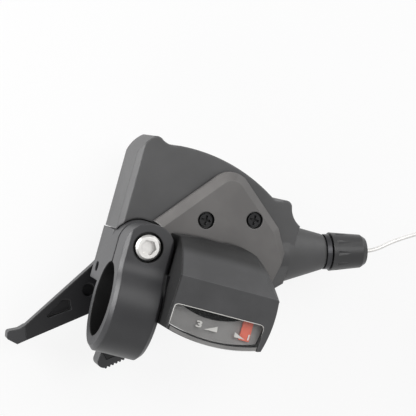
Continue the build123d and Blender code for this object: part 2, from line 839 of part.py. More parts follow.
def pawl(name, pivot, nose, heel_angle, heel_length, pin_radius):
    """Write a pawl: a boss about its pin, a beak that tapers to the nose and a short heel."""
    with BuildPart() as piece:
        with BuildSketch(Plane(origin=(*pivot, ratchet_z))):
            reach = Vector(nose[0] - pivot[0], nose[1] - pivot[1])
            side = Vector(-reach.Y, reach.X).normalized() * pawl_boss * 0.8
            Circle(pawl_boss)
            Polygon((side.X, side.Y), (-side.X, -side.Y), (reach.X, reach.Y), align=None)
            heel = Vector(cos(radians(heel_angle)), sin(radians(heel_angle))) * heel_length
            with BuildLine():
                Line((0, 0), (heel.X, heel.Y))
            trace(line_width=pawl_boss)
            Circle(pin_radius + running_gap, mode=Mode.SUBTRACT)
        extrude(amount=ratchet_thickness)
    finish(piece, name)


pawl("holding_pawl", holding_pivot, holding_nose, holding_heel_angle, holding_heel, pawl_pin_radius)
pawl("drive_pawl", drive_pivot, drive_nose, drive_heel_angle, drive_heel, drive_pin_radius)
with BuildPart() as holding_pin:
    with BuildSketch(Plane(origin=(*holding_pivot, housing_bottom_z))):
        Circle(pawl_boss)
    extrude(amount=spacer_height - layer_gap)
    with BuildSketch(Plane(origin=(*holding_pivot, housing_bottom_z))):
        Circle(pawl_pin_radius)
    extrude(amount=spacer_height + 2 * ratchet_thickness)
finish(holding_pin, "holding_pin")

# ================================================================ levers
lever_bore = axle_radius + bushing_wall


def lever_blank(outline, bottom, top, tail, tail_radius):
    """Return a lever: a hub, an arm whose outline runs from the hub to the tip, and a tail for its pin."""
    with BuildPart() as blank:
        with BuildSketch(Plane.XY.offset(bottom)):
            Polygon(*outline, align=None)
            with Locations(axle):
                Circle(hub_radius)
            with BuildLine():
                Line(axle, tail)
            trace(line_width=2 * tail_radius)
            with Locations(tail):
                Circle(tail_radius)
            with Locations(axle):
                Circle(lever_bore, mode=Mode.SUBTRACT)
        extrude(amount=top - bottom)
    return blank.part


thumb_arm_end = beside_axle((-38.2, -45.7), (-36.5, -49.9))
thumb_hub_sides = beside_axle((7.5, -3.8), (-7.0, 5.2))
thumb_elbows = beside_axle((-22.8, -22.2), (-20.0, -37.3), (-0.5, -21.4))
thumb_pocket = beside_axle((-33.4, -42.7), (-29.1, -35.2), (-27.1, -34.7), (-25.7, -37.4))
thumb_eye, = beside_axle((-22.1, -30.3))
with BuildPart() as thumb_lever:
    thumb_outline = [
        thumb_hub_sides[1],
        thumb_elbows[0],
        *thumb_arm_end,
        *thumb_elbows[1:],
        thumb_hub_sides[0],
    ]
    drive_boss_radius = drive_pin_radius + bushing_wall
    add(lever_blank(thumb_outline, thumb_bottom_z, thumb_top_z, drive_pivot, drive_boss_radius))
    with BuildSketch(Plane.XY.offset(thumb_top_z)) as pocket_plan:
        Polygon(*thumb_pocket, align=None)
        fillet(pocket_plan.vertices(), radius=pocket_corner_radius)
        with Locations(thumb_eye):
            Circle(thumb_eye_radius)
    extrude(amount=-pocket_depth, mode=Mode.SUBTRACT)
    with BuildSketch(Plane(origin=(*axle, thumb_bottom_z))):
        Circle(spring_cup_radius)
    extrude(amount=spring_cup_depth, mode=Mode.SUBTRACT)
finish(thumb_lever, "thumb_lever")

release_arm_end = beside_axle((-14.1, -47.0), (-11.9, -49.4), (-6.3, -45.6), (-2.1, -39.3))
release_elbow, release_hub_left, release_hub_right = beside_axle((-15.1, -39.8), (-10.0, -3.8), (9.0, -5.8))
with BuildPart() as release_lever:
    add(
        lever_blank(
            [release_hub_left, release_elbow, *release_arm_end, release_hub_right],
            release_bottom_z,
            release_top_z,
            release_pin_place,
            release_pin_radius + bushing_wall,
        )
    )
    with BuildSketch(Plane(origin=(*axle, release_top_z))):
        Circle(spring_cup_radius)
    extrude(amount=-spring_cup_depth, mode=Mode.SUBTRACT)
finish(release_lever, "release_lever")

ring_piece("thumb_bushing", spool_bore, lever_bore, thumb_bottom_z, thumb_top_z)
ring_piece("release_bushing", spool_bore, lever_bore, release_bottom_z, release_top_z)
spiral_spring(
    "thumb_spring",
    lever_bore + spring_strip,
    lever_spring_halves,
    thumb_bottom_z + layer_gap,
    spring_cup_depth - 2 * layer_gap,
    cap_top_z,
)
spiral_spring(
    "release_spring",
    lever_bore + spring_strip,
    lever_spring_halves,
    release_top_z - spring_cup_depth + layer_gap,
    spring_cup_depth - 2 * layer_gap,
    chassis_z,
)

# ---------------------------------------------------------------- lever pads and pins
thumb_pad_points = beside_axle(
    (-39.7, -47.2), (-42.9, -48.7), (-42.5, -51.0), (-38.9, -51.8)
)
thumb_grip = beside_axle((-27.0, -42.7), (-28.7, -40.4))
with BuildPart() as thumb_pad:
    with BuildSketch(Plane.XY.offset(thumb_bottom_z - thumb_pad_drop)) as thumb_pad_plan:
        Polygon(thumb_arm_end[0], *thumb_pad_points, thumb_arm_end[1], align=None)
        fillet(thumb_pad_plan.vertices().sort_by(Axis.X)[:3], radius=pad_corner)
    extrude(amount=thumb_top_z - thumb_bottom_z + thumb_pad_drop)
    with BuildSketch(Plane.XY.offset(thumb_bottom_z - thumb_pad_drop)):
        Polygon(*thumb_arm_end, *thumb_grip, align=None)
    extrude(amount=thumb_pad_drop)
finish(thumb_pad, "thumb_pad")

release_corner, *release_serrated = beside_axle(
    (-14.6, -52.2), (-11.9, -52.0), (-6.9, -47.9), (-2.6, -44.7), (-0.4, -40.4)
)
release_pad_z = release_bottom_z - release_pad_drop
with BuildPart() as release_pad:
    with BuildSketch(Plane.XY.offset(release_pad_z)) as release_pad_plan:
        Polygon(release_arm_end[0], release_corner, *release_serrated, *release_arm_end[:0:-1], align=None)
        near_corner = release_pad_plan.vertices().sort_by_distance((*release_corner, release_pad_z))
        fillet(near_corner[0], radius=pad_round)
        rib_line = Wire.make_polygon([(*point, 0) for point in release_serrated], close=False)
        rib_places = [rib_line @ ((rib + 0.5) / release_ribs) for rib in range(release_ribs)]
        with Locations(*[(place.X, place.Y) for place in rib_places]):
            Circle(release_rib_radius)
    extrude(amount=release_top_z + release_pad_rise - release_pad_z)
finish(release_pad, "release_pad")

pin_top_z = ratchet_z + ratchet_thickness + 2 * spring_strip
with BuildPart() as drive_pin:
    with BuildSketch(Plane(origin=(*drive_pivot, thumb_top_z))):
        Circle(drive_pin_radius)
    extrude(amount=pin_top_z - thumb_top_z)
    with BuildSketch(Plane(origin=(*drive_pivot, housing_bottom_z + layer_gap))):
        Circle(pawl_boss)
    extrude(amount=spacer_height - 2 * layer_gap)
finish(drive_pin, "drive_pin")
with BuildPart() as release_pin:
    with BuildSketch(Plane(origin=(*release_pin_place, release_top_z))):
        Circle(release_pin_radius)
    extrude(amount=pin_top_z - release_top_z)
finish(release_pin, "release_pin")


def pawl_spring(name, pivot, pin_radius, leg_angles, leg_length):
    """Write a pawl's wire spring: one loop about the pin with two legs, just above the pawl."""
    loop = pin_radius + spring_strip
    with BuildPart() as piece:
        with BuildSketch(Plane(origin=(*pivot, ratchet_z + ratchet_thickness + layer_gap))):
            for leg_angle in leg_angles:
                leg = Vector(1, 0).rotate(Axis.Z, leg_angle)
                with BuildLine():
                    Line((leg.X * loop, leg.Y * loop), (leg.X * leg_length, leg.Y * leg_length))
                trace(line_width=spring_strip)
            Circle(loop + spring_strip / 2)
            Circle(pin_radius, mode=Mode.SUBTRACT)
        extrude(amount=spring_strip)
    finish(piece, name)


pawl_spring("holding_spring", holding_pivot, pawl_pin_radius, holding_legs, holding_leg_length)
pawl_spring("drive_spring", drive_pivot, drive_pin_radius, drive_legs, drive_leg_length)

# ================================================================ barrel adjuster
shank_start = neck_end - shank_length
socket_start = knob_end - ferrule_length
adjuster_insert = turned_piece(
    [
        (neck_end - insert_length, shank_radius + running_gap),
        (neck_end - insert_length, insert_radius),
        (neck_end, insert_radius),
        (neck_end, shank_radius + running_gap),
    ]
)
adjuster_collar = turned_piece(
    [
        (neck_end, shank_radius + 2 * running_gap),
        (neck_end, collar_radius),
        (neck_end + collar_length, collar_radius),
        (neck_end + collar_length, shank_radius + 2 * running_gap),
    ]
)
adjuster_ferrule = turned_piece(
    [
        (socket_start, shank_bore),
        (socket_start, ferrule_radius - ferrule_rim),
        (knob_end - 2 * ferrule_recess, ferrule_radius - ferrule_rim),
        (knob_end - 2 * ferrule_recess, ferrule_radius),
        (knob_end - ferrule_recess, ferrule_radius),
        (knob_end - ferrule_recess, shank_bore),
    ]
)
with BuildPart() as barrel_adjuster:
    add(
        turned_piece(
            [
                (shank_start, shank_bore),
                (shank_start, shank_radius),
                (knob_start, shank_radius),
                (knob_start, knob_base_radius),
                (knob_end - knob_chamfer, knob_tip_radius),
                (knob_end, knob_mouth_radius),
                (knob_end, ferrule_radius + ferrule_gap),
                (socket_start - ferrule_gap, ferrule_radius + ferrule_gap),
                (socket_start - ferrule_gap, shank_bore),
            ]
        )
    )
    with BuildSketch(across_cable(knob_start + knob_chamfer)):
        with PolarLocations(knob_base_radius + knob_flute_radius / 2, knob_ribs):
            Circle(knob_flute_radius)
    extrude(amount=knob_length, mode=Mode.SUBTRACT)
finish(barrel_adjuster, "barrel_adjuster")
for name, solid in (
    ("adjuster_insert", adjuster_insert),
    ("adjuster_collar", adjuster_collar),
    ("adjuster_ferrule", adjuster_ferrule),
):
    solid.label = name
    export_step(solid, f"parts/{name}.step")

# ================================================================ display pod
rail_y = riser_y + riser_thickness
dial_top_z = dial_z + dial_thickness
pod_slope = (pod_crest_z - pod_sill_z) / (pod_brow_y - pod_rider_y)
pod_back_y = bar_radius + 2 * housing_gap


def pod_plan(inset):
    """Draw the pod's plan, a straight left side and four arcs, every point drawn in by the inset."""
    left = pod_left + inset
    right = pod_right - inset
    rider = pod_rider_y + inset
    front = pod_front_y - inset
    corner = pod_corner + inset * (cos(pi / 4) - 1)
    middle_x = (pod_left + pod_right) / 2
    rider_left = (left, rider + pod_sweep)
    rider_right = (right - pod_flare, rider + pod_sweep)
    brow_right = (right, pod_brow_y - pod_shoulder)
    front_middle = (middle_x, front)
    front_left = (left, front - pod_shoulder)
    Line(front_left, rider_left)
    ThreePointArc(rider_left, (middle_x, rider), rider_right)
    ThreePointArc(rider_right, (right + pod_bulge, (rider_right[1] + brow_right[1]) / 2), brow_right)
    ThreePointArc(brow_right, (right - corner, front - corner), front_middle)
    ThreePointArc(front_middle, ((left + middle_x) / 2, front), front_left)


def pod_block(inset):
    """Return the pod's outer block when inset is 0, and its hollow when inset is the wall."""
    drop = inset * hypot(1, pod_slope)
    with BuildPart() as block:
        with BuildSketch(Plane.XY.offset(cover_top_z)):
            with BuildLine():
                pod_plan(inset)
            make_face()
        extrude(amount=pod_crest_z - cover_top_z)
        with BuildSketch(Plane.YZ.offset(pod_left - pod_wall)):
            with BuildLine():
                brow = (pod_brow_y, pod_crest_z - drop)
                toe = (pod_front_y + pod_wall - inset, cover_top_z + pod_wall)
                cheek = (pod_brow_y + pod_cheek[0] - inset, pod_crest_z - pod_cheek[1] - inset / 2)
                ThreePointArc(brow, cheek, toe)
                Polyline(
                    toe,
                    (toe[0], cover_top_z - inset),
                    (pod_back_y + inset, cover_top_z - inset),
                    (pod_back_y + inset, pod_floor_z - inset),
                    (pod_rider_y + inset, pod_floor_z - inset),
                    (pod_rider_y + inset, pod_sill_z - drop),
                    brow,
                )
            make_face()
        extrude(amount=pod_right - pod_left + 4 * pod_wall, mode=Mode.INTERSECT)
        facet_normal = Vector(facet_way).normalized()
        facet_point = Vector(pod_right - facet_inset, pod_brow_y, pod_crest_z) - facet_normal * inset
        split(bisect_by=Plane(origin=facet_point, z_dir=facet_normal), keep=Keep.BOTTOM)
    return block.part


pod_outer = pod_block(0)
pod_hollow = pod_block(pod_wall)


def window_cut():
    """Return the block that the lens takes from the pod's skin."""
    with BuildPart() as cut:
        with BuildSketch(Plane.XY.offset(dial_top_z)) as window_plan:
            with Locations((window_left, window_top_y)):
                Rectangle(
                    window_right - window_left,
                    window_top_y - pod_rider_y + pod_wall,
                    align=(Align.MIN, Align.MAX),
                )
            fillet(window_plan.vertices().group_by(Axis.Y)[-1], radius=pod_wall)
        extrude(amount=pod_crest_z - dial_top_z + pod_wall)
    return cut.part


window_block = window_cut()
with BuildPart() as indicator_rail:
    with BuildSketch(Plane.YZ.offset(pod_left + pod_wall / 2)):
        with Locations((rail_y, rail_z)):
            Circle(rail_radius)
    extrude(amount=pod_right - pod_left - pod_wall - pod_flare)
finish(indicator_rail, "indicator_rail")

with BuildPart() as display_bosses:
    with BuildSketch(Plane.XY.offset(cover_top_z)):
        with Locations(*display_screw_places):
            Circle(display_boss_radius)
    extrude(amount=display_boss_height)
    add(pod_outer, mode=Mode.INTERSECT)

with BuildPart() as display_housing:
    add(pod_outer)
    add(pod_hollow, mode=Mode.SUBTRACT)
    add(window_block, mode=Mode.SUBTRACT)
    add(display_bosses.part)
    add(indicator_rail.part, mode=Mode.SUBTRACT)
    with BuildSketch(Plane.XY.offset(cover_top_z)):
        with Locations(*display_screw_places):
            Circle(screw_shank_radius)
    extrude(amount=display_boss_height, mode=Mode.SUBTRACT)
finish(display_housing, "display_housing")

with BuildPart() as display_lens:
    add(pod_outer)
    add(pod_hollow, mode=Mode.SUBTRACT)
    add(window_block, mode=Mode.INTERSECT)
finish(display_lens, "display_lens")
display_screw_length = display_boss_height + cover_wall - housing_gap
cross_screw(
    "display_screws",
    display_screw_places,
    cover_top_z - cover_wall,
    screw_head_height,
    display_screw_length,
    up=False,
)


def pod_floor_plan(gap, front_y):
    """Return the pod's inner plan, drawn in by a gap and cut off at front_y."""
    with BuildSketch() as floor_plan:
        with BuildLine():
            pod_plan(pod_wall + gap)
        make_face()
        with Locations((pod_left, front_y)):
            Rectangle(pod_right, 2 * pod_front_y, align=(Align.MIN, Align.MAX), mode=Mode.INTERSECT)
    return floor_plan.sketch


with BuildPart() as display_base:
    with BuildSketch(Plane.XY.offset(pod_floor_z)):
        add(pod_floor_plan(housing_gap / 2, pod_back_y + pod_wall))
    extrude(amount=base_thickness)
    for rib_x, rib_side in ((window_left + pod_wall, Align.MIN), (window_right - housing_gap, Align.MAX)):
        with BuildSketch(Plane.XY.offset(pod_floor_z + base_thickness)):
            with Locations((rib_x, 0)):
                Rectangle(rib_thickness, dial_top_y, align=(rib_side, Align.MIN))
        extrude(amount=dial_z - pod_floor_z - base_thickness)
finish(display_base, "display_base")

arch_chord = window_right - window_left - 2 * pod_wall
arch_radius = ((arch_chord / 2) ** 2 + dial_arch**2) / (2 * dial_arch)
with BuildPart() as dial_plate:
    with BuildSketch(Plane.XY.offset(dial_z)):
        add(pod_floor_plan(dial_play, dial_top_y))
        arch_x = (window_left + window_right) / 2 - dial_arch_aside
        with Locations((arch_x, dial_top_y - dial_arch + arch_radius)):
            Circle(arch_radius, mode=Mode.SUBTRACT)
    extrude(amount=dial_thickness)
finish(dial_plate, "dial_plate")

# ================================================================ indicator flag and its rail
peg_x, peg_y = around_axle(peg_orbit, peg_rest_angle)
fork_x = peg_x + fork_lead
fork_end_y = pod_front_y - pod_wall - pod_shoulder - housing_gap
flag_z = dial_top_z + flag_lift
flag_x = pod_right - flag_inset
with BuildPart() as indicator_flag:
    with BuildSketch(Plane.XY.offset(flag_z)):
        with Locations((flag_x, flag_reach_y)):
            Rectangle(flag_width, riser_y - flag_reach_y, align=(Align.CENTER, Align.MIN))
        with Locations((fork_x - riser_width / 2, riser_y + riser_thickness / 2)):
            Rectangle(
                flag_x + flag_width / 2 - fork_x + riser_width / 2,
                riser_width,
                align=(Align.MIN, Align.MAX),
            )
    extrude(amount=flag_thickness)
    with BuildSketch(Plane.XY.offset(fork_z)):
        with Locations((fork_x, riser_y)):
            Rectangle(riser_width, riser_thickness)
    extrude(amount=flag_z - fork_z)
    with BuildSketch(Plane.XY.offset(fork_z)):
        with Locations((fork_x, riser_y - riser_thickness / 2)):
            Rectangle(
                fork_slot + 2 * fork_wall,
                fork_end_y - riser_y + riser_thickness / 2,
                align=(Align.CENTER, Align.MIN),
            )
        with Locations((fork_x, fork_end_y)):
            Rectangle(
                fork_slot,
                fork_end_y - riser_y - riser_thickness,
                align=(Align.CENTER, Align.MAX),
                mode=Mode.SUBTRACT,
            )
    extrude(amount=fork_thickness)
    with BuildSketch(Plane.YZ.offset(fork_x - riser_width / 2)):
        with Locations((rail_y, rail_z)):
            Rectangle(2 * (rail_radius + fork_wall), 2 * (rail_radius + fork_wall))
    extrude(amount=riser_width)
    with BuildSketch(Plane.YZ.offset(pod_left)):
        with Locations((rail_y, rail_z)):
            Circle(rail_radius + running_gap)
    extrude(amount=pod_right - pod_left, mode=Mode.SUBTRACT)
finish(indicator_flag, "indicator_flag")

# ================================================================ shift cable, its free run and its coil
with BuildPart() as shift_cable:
    with BuildSketch(across_cable(0)):
        Circle(cable_radius)
    extrude(amount=knob_end)
finish(shift_cable, "shift_cable")

floor_z = axle_bottom_z
coil_z = floor_z + coil_section + tie_wall
coil_joint = (
    coil_centre[0] + coil_radius * cos(radians(coil_joint_angle)),
    coil_centre[1] + coil_radius * sin(radians(coil_joint_angle)),
    coil_z,
)
exit_point = along_cable(knob_end)
first_bend = along_cable(knob_end + cable_exit_run)
cable_route = [
    (exit_point.X, exit_point.Y, exit_point.Z),
    (first_bend.X, first_bend.Y, first_bend.Z),
    (79.4, 39.0, -13.0),
    (90.0, 45.0, -14.0),
    (98.2, 47.8, -19.5),
    (105.8, 48.4, -26.8),
    (113.9, 47.4, -33.2),
    (122.6, 46.8, -36.5),
    coil_joint,
]


def bend_radii(route):
    """Return each inner point's arc radius: 0.45 of the shorter run over the tangent of half the turn."""
    runs = [Vector(*after) - Vector(*before) for before, after in zip(route, route[1:])]
    radii = []
    for first, second in zip(runs, runs[1:]):
        half_turn = radians(first.get_angle(second) / 2)
        radii.append(0.45 * min(first.length, second.length) * cos(half_turn) / sin(half_turn))
    return radii


cable_radii = bend_radii(cable_route)
print("cable bend radii, mm:", [round(radius, 1) for radius in cable_radii])
with BuildPart() as cable_tube:
    with BuildLine() as cable_path:
        FilletPolyline(*cable_route, radius=cable_radii)
    with BuildSketch(Plane(origin=exit_point, z_dir=cable_way)):
        Circle(cable_radius)
    sweep()
finish(cable_tube, "cable_tube")
tube_length = cable_path.wires()[0].length
tube_fill = cable_tube.part.volume / (pi * cable_radius**2 * tube_length)
print("tube length, mm:", round(tube_length, 1), "volume over section times length:", round(tube_fill, 4))
coil_length = cable_length - tube_length - knob_end
print("coil turns:", round(coil_length / (2 * pi * coil_radius), 2))

coil_axis = Axis(origin=(*coil_centre, coil_z), direction=(0, 0, 1))
coil_section_plane = Plane(origin=(coil_centre[0] + coil_radius, coil_centre[1], coil_z), z_dir=(0, 1, 0))
with BuildPart() as cable_coil:
    with BuildSketch(coil_section_plane):
        Circle(coil_section)
    revolve(axis=coil_axis)
finish(cable_coil, "cable_coil")
with BuildPart() as coil_tie:
    with BuildSketch(coil_section_plane):
        Circle(coil_section + tie_wall)
        Circle(coil_section, mode=Mode.SUBTRACT)
    revolve(axis=coil_axis, revolution_arc=degrees(tie_width / coil_radius))
finish(coil_tie, "coil_tie")
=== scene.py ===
import json
import math

import bpy
import numpy as np
from mathutils import Matrix, Vector


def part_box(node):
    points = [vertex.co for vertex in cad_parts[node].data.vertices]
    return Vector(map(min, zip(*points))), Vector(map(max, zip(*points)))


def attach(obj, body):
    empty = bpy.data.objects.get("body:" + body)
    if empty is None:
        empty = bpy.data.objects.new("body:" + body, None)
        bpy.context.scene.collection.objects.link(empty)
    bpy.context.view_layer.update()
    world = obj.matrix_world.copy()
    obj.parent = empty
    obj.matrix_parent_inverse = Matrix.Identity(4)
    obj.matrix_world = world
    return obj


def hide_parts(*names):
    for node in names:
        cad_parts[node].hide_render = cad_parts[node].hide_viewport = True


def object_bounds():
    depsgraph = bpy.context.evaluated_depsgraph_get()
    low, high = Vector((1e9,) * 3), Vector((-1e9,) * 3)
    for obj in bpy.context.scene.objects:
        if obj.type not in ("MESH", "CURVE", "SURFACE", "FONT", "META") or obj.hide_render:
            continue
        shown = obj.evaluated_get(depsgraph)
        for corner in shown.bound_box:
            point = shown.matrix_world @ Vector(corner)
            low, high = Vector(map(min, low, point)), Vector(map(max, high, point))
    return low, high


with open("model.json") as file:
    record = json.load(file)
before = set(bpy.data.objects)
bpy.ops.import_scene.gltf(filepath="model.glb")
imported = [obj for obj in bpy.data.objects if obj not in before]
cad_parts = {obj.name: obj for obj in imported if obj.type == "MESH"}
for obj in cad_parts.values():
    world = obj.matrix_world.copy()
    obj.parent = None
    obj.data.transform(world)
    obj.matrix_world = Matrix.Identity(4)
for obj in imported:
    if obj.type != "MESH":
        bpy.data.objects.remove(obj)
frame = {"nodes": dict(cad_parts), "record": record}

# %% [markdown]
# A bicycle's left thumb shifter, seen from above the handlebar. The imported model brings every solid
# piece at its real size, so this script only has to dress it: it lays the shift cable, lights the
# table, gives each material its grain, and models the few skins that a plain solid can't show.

MM = 0.001
nodes = frame["nodes"]
cad_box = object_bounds()
low, high = [np.array(corner) for corner in cad_box]
print("CAD box in mm:", np.round(low / MM, 1), np.round(high / MM, 1))

# %% [markdown]
# The camera stands above the display and leans a little towards the lever side, so that the clamp's
# bore opens as a narrow ellipse. Its long lens keeps the shapes nearly parallel, and it is rolled so
# that the handlebar would run uphill to the right.

# %% The camera
lean = math.radians(14.5)
roll = math.radians(15.5)
look_at = Vector((16.14, 33.43, 0.0)) * MM
camera_distance = 520
back = Vector((-math.tan(lean), 0, 1)).normalized()
right = (Vector((1, 0, 0)) - back * back.x).normalized()
above = back.cross(right)
rolled_right = right * math.cos(roll) + above * math.sin(roll)
rolled_up = above * math.cos(roll) - right * math.sin(roll)

camera_data = bpy.data.cameras.new("camera")
camera_data.lens = 153.45
camera_data.sensor_width = 36
camera_data.clip_start = 0.01
camera = bpy.data.objects.new("camera", camera_data)
bpy.context.scene.collection.objects.link(camera)
camera.matrix_world = Matrix((rolled_right, rolled_up, back)).transposed().to_4x4()
camera.location = look_at + back * camera_distance * MM
bpy.context.scene.camera = camera
print("camera at", [round(value, 3) for value in camera.location])

# %% [markdown]
# The inner cable is 1.7 m of stranded wire. About 53 mm of it lie inside the shifter. The rest leaves
# the barrel adjuster straight, lifts a little towards the front and sinks to the table, where it is
# wound into one tied coil. One smooth spline carries it all: the points of the free stretch are listed,
# and the coil's turns are worked out, stacked in three rows like the real hank.

# %% The cable's spline
cable_radius = 0.6 * MM
coil_centre = np.array([134.7, 21.6, -35.4]) * MM
coil_radius = 26.5 * MM
start_angle = math.radians(97)
free_points = np.array([
    (70.80, 33.44, -13.0), (74.08, 34.35, -13.0), (79.4, 39.0, -13.0), (90.0, 45.0, -14.0),
    (98.2, 47.8, -19.5), (105.8, 48.4, -26.8), (113.9, 47.4, -33.2), (122.6, 46.8, -36.0),
]) * MM
row_step = 2 * cable_radius * math.sin(math.pi / 3)
stack = np.array([
    (0.5, 0), (-0.5, 0), (-1.5, 0), (-1, -1), (0, -1), (1, -1), (1.5, 0), (1, 1), (0, 1), (-1, 1),
]) * (2 * cable_radius, row_step)
turns = 9.42
per_turn = 24
ease_share = 0.25


def coil_points():
    """Turns about a vertical axis, clockwise; each turn keeps its place in the stack, then eases on."""
    step = np.arange(int(turns * per_turn) + 1) / per_turn
    turn = np.floor(step).astype(int)
    ease = np.clip((step - turn - (1 - ease_share)) / ease_share, 0, 1)[:, None]
    following = np.minimum(turn + 1, len(stack) - 1)
    place = stack[turn] * (1 - ease) + stack[following] * ease
    angle = start_angle - 2 * math.pi * step
    reach = coil_radius + place[:, 0]
    return np.column_stack([
        coil_centre[0] + reach * np.cos(angle),
        coil_centre[1] + reach * np.sin(angle),
        coil_centre[2] + place[:, 1],
    ])


def linked(name, data):
    """A new object with this data, linked to the scene."""
    piece = bpy.data.objects.new(name, data)
    bpy.context.scene.collection.objects.link(piece)
    return piece


def spline_object(name, points, radius):
    """A NURBS curve of order 3 that starts and ends on its end points, with a round section.

    The section's radius is the points' own radius times a bevel depth of 1, because the box that
    Blender gives for a curve reaches one point radius beyond the points.
    """
    curve = bpy.data.curves.new(name, "CURVE")
    curve.dimensions = "3D"
    curve.bevel_depth = 1.0
    curve.bevel_resolution = 3
    curve.resolution_u = 6
    spline = curve.splines.new("NURBS")
    spline.points.add(len(points) - 1)
    spline.points.foreach_set("co", np.column_stack([points, np.ones(len(points))]).ravel())
    spline.points.foreach_set("radius", np.full(len(points), radius))
    spline.order_u = 3
    spline.use_endpoint_u = True
    curve.use_fill_caps = True
    return linked(name, curve)


cable_points = np.vstack([free_points, coil_points()])
cable = spline_object("shift_cable_free", cable_points, cable_radius)
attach(cable, "shifter_body")
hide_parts("cable_tube", "cable_coil")
run = float(np.linalg.norm(np.diff(cable_points, axis=0), axis=1).sum())
print("cable: points", len(cable_points), "length about", round(run, 3), "m")

# %% [markdown]
# A real inner cable ends in a small crimped cap, so that its strands don't fray. A cap could be a
# cylinder, but a ring carried along a path can follow the coil's bend. The same helpers serve again for
# the painted highlight along the lens's edge.

# %% Helpers: a round profile carried along a path


def grid_faces(rows, columns):
    """Quads between neighbouring rows of a grid whose last column joins its first."""
    row = np.arange(rows - 1)[:, None]
    column = np.arange(columns)[None, :]
    after = (column + 1) % columns
    first = row * columns + column
    second = row * columns + after
    return np.stack([first, second, second + columns, first + columns], axis=-1).reshape(-1, 4)


def tube_along(path, radii, sides):
    """Rings square to a path: each point is the path's, plus the radius times side by cos and up by sin."""
    path = np.asarray(path, dtype=float)
    way = np.gradient(path, axis=0)
    way /= np.linalg.norm(way, axis=1)[:, None]
    side = np.cross(way, (0.0, 0.0, 1.0))
    side /= np.linalg.norm(side, axis=1)[:, None]
    up = np.cross(side, way)
    turn = np.linspace(0, 2 * math.pi, sides, endpoint=False)
    ring = side[:, None] * np.cos(turn)[None, :, None] + up[:, None] * np.sin(turn)[None, :, None]
    return (path[:, None] + ring * np.asarray(radii)[:, None, None]).reshape(-1, 3)


def tube_object(name, path, radii, sides, body):
    """A smooth tube along a path, with a radius at each point, that rides on a body. Its ends stay open."""
    mesh = bpy.data.meshes.new(name)
    mesh.from_pydata(tube_along(path, radii, sides).tolist(), [], grid_faces(len(path), sides).tolist())
    mesh.update()
    mesh.polygons.foreach_set("use_smooth", np.ones(len(mesh.polygons), dtype=bool))
    piece = linked(name, mesh)
    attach(piece, body)
    print(name, "faces", len(mesh.polygons))
    return piece


print("a tube of 3 rings with 8 sides has", len(grid_faces(3, 8)), "faces")

# %% [markdown]
# The cap narrows in its middle, where the crimp bites. It starts inside the cable, and its far end runs
# down to a point too small to see into.

# %% The cable's end cap
cap_rings = 15
cap_sides = 16
cap_radius = 0.78 * MM
crimp_depth, crimp_width = 0.12, 0.12
coil_end_angle = start_angle - 2 * math.pi * (len(coil_points()) - 1) / per_turn
cap_turn = coil_end_angle + np.linspace(0.12, -0.16, cap_rings)
cap_reach = coil_radius + stack[-1][0]
cap_path = np.column_stack([
    coil_centre[0] + cap_reach * np.cos(cap_turn),
    coil_centre[1] + cap_reach * np.sin(cap_turn),
    np.full(cap_rings, coil_centre[2] + stack[-1][1]),
])
cap_share = np.linspace(0, 1, cap_rings)
cap_crimp = 1 - crimp_depth * np.exp(-((cap_share - 0.5) / crimp_width) ** 2)
cap_ends = np.minimum(1, 0.2 + 12 * cap_share) * np.minimum(1, 0.02 + 12 * (1 - cap_share))
cap_radii = cap_radius * cap_crimp * cap_ends
end_cap = tube_object("cable_end_cap", cap_path, cap_radii, cap_sides, "shifter_body")

# %% [markdown]
# The table is a wide pale sheet. It answers the camera and mirrors with nearly white light and other
# rays as plain paper, so that the shifter stands on white and still throws its soft shadow. The sky does
# the same: it is seen white, and lights the object weakly.

# %% Floor and world


def new_material(name):
    """A new node material; returns the material, its node tree and its Principled shader."""
    material = bpy.data.materials.new(name)
    material.use_nodes = True
    return material, material.node_tree, material.node_tree.nodes["Principled BSDF"]


def make_node(tree, kind, values=(), **settings):
    """A new shader node of a kind, with values for its inputs, each by name or place, and its settings."""
    node = tree.nodes.new("ShaderNode" + kind)
    for key, value in settings.items():
        setattr(node, key, value)
    for key, value in values:
        node.inputs[key].default_value = value
    return node


def maths(tree, operation, first, second):
    """The output of one sum on a socket and a second socket or number."""
    node = make_node(tree, "Math", operation=operation)
    tree.links.new(first, node.inputs[0])
    if isinstance(second, (int, float)):
        node.inputs[1].default_value = second
    else:
        tree.links.new(second, node.inputs[1])
    return node.outputs[0]


def lamp_share(tree, strength):
    """A value that is the given strength for rays that see the paper directly or in a mirror, else 0."""
    rays = make_node(tree, "LightPath").outputs
    seen = maths(tree, "MAXIMUM", rays["Is Camera Ray"], rays["Is Transmission Ray"])
    return maths(tree, "MULTIPLY", maths(tree, "MAXIMUM", seen, rays["Is Glossy Ray"]), strength)


floor_size = 3.0
floor_gap = 0.05 * MM
floor_z = low[2] - floor_gap
floor_mesh = bpy.data.meshes.new("table")
corners = np.array([(-1, -1), (1, -1), (1, 1), (-1, 1)]) * floor_size / 2
floor_mesh.from_pydata(np.column_stack([corners, np.full(4, floor_z)]).tolist(), [], [(0, 1, 2, 3)])
floor = linked("table", floor_mesh)
paper, paper_tree, paper_shader = new_material("pale_paper")
paper_shader.inputs["Base Color"].default_value = (0.88, 0.88, 0.88, 1)
paper_shader.inputs["Roughness"].default_value = 0.9
paper_shader.inputs["Specular IOR Level"].default_value = 0.0
paper_seen = 0.86
glow = make_node(paper_tree, "Emission", [("Strength", 1.0)])
blend_in = make_node(paper_tree, "MixShader")
paper_tree.links.new(lamp_share(paper_tree, paper_seen), blend_in.inputs["Fac"])
paper_tree.links.new(paper_shader.outputs["BSDF"], blend_in.inputs[1])
paper_tree.links.new(glow.outputs["Emission"], blend_in.inputs[2])
paper_tree.links.new(blend_in.outputs["Shader"], paper_tree.nodes["Material Output"].inputs["Surface"])
floor_mesh.materials.append(paper)

